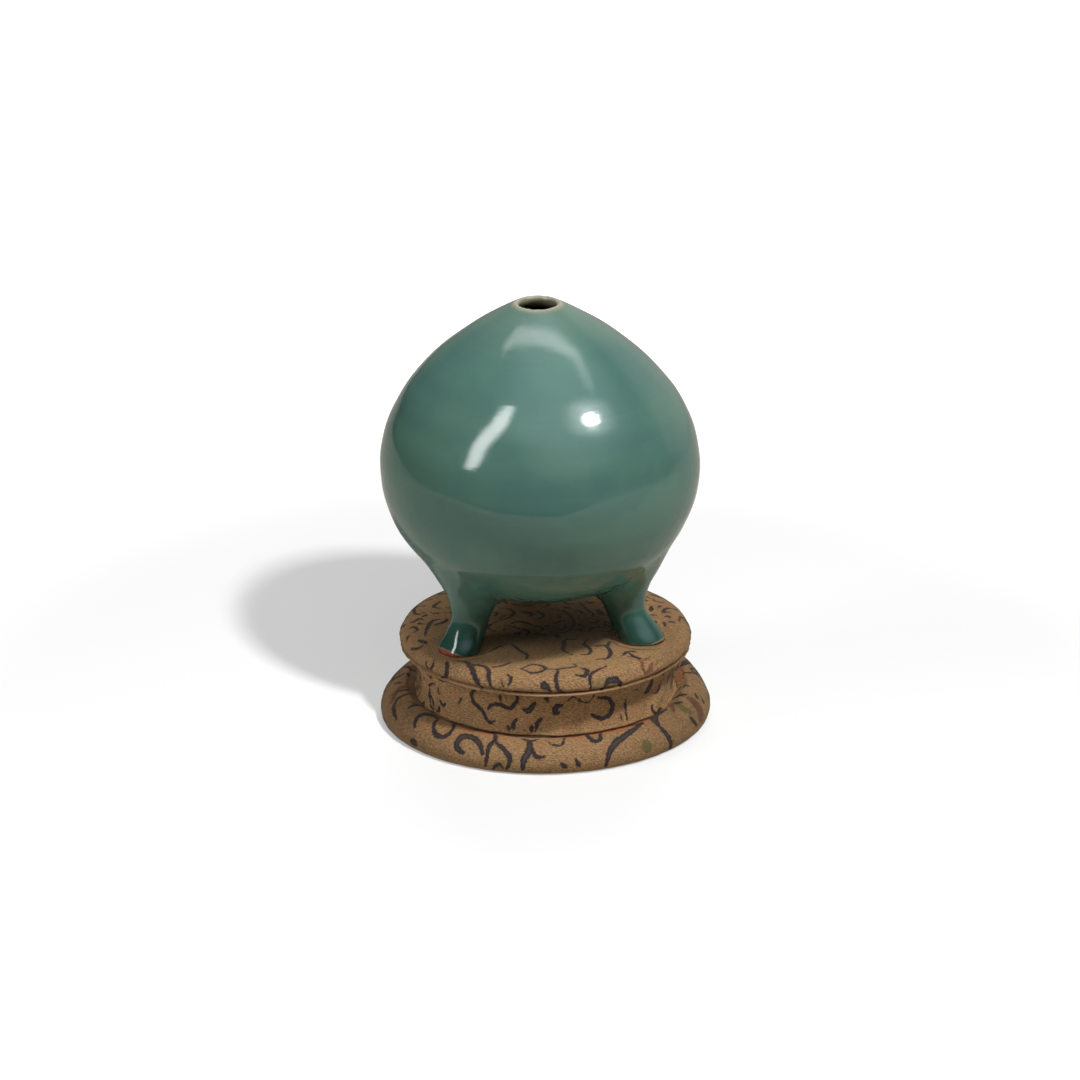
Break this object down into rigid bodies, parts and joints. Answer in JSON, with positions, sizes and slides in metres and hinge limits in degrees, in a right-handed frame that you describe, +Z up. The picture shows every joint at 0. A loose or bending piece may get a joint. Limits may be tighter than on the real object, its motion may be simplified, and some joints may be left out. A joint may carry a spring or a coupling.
{
  "type": "lotus bud water pot on stand",
  "caption": "Footed ceramic water pot shaped like a lotus bud, with a narrow mouth, standing loose on a round stand covered in brocade.",
  "frame": {"origin": "centre of the stand's underside, on the surface that it stands on", "axes": "+Z up through the middle of the stand, -Y towards the viewer, +X to the viewer's right"},
  "size_m": [0.0824, 0.0824, 0.1085],
  "materials": {
    "glaze": "glossy teal-green celadon glaze, pale at the lip, with bare orange-red clay under the toes",
    "brocade": "woven gold-tan brocade with dark scrolling vines",
    "wadding": "soft cotton wadding",
    "board": "plain softwood",
    "lining": "plain brown cloth"
  },
  "bodies": {
    "stand": {"base_lining": "lining", "base_board": "board", "base_wadding": "wadding", "base_cover": "brocade", "waist_block": "board", "waist_cover": "brocade", "top_board": "board", "top_wadding": "wadding", "top_cover": "brocade"},
    "pot": {"pot_body": "glaze", "left_leg": "glaze", "right_leg": "glaze", "back_leg": "glaze"}
  },
  "joints": [
    {"name": "pot_lift", "type": "slide", "parent": "stand", "child": "pot", "axis": [0, 0, 1], "range_m": [0, 0.06]}
  ]
}
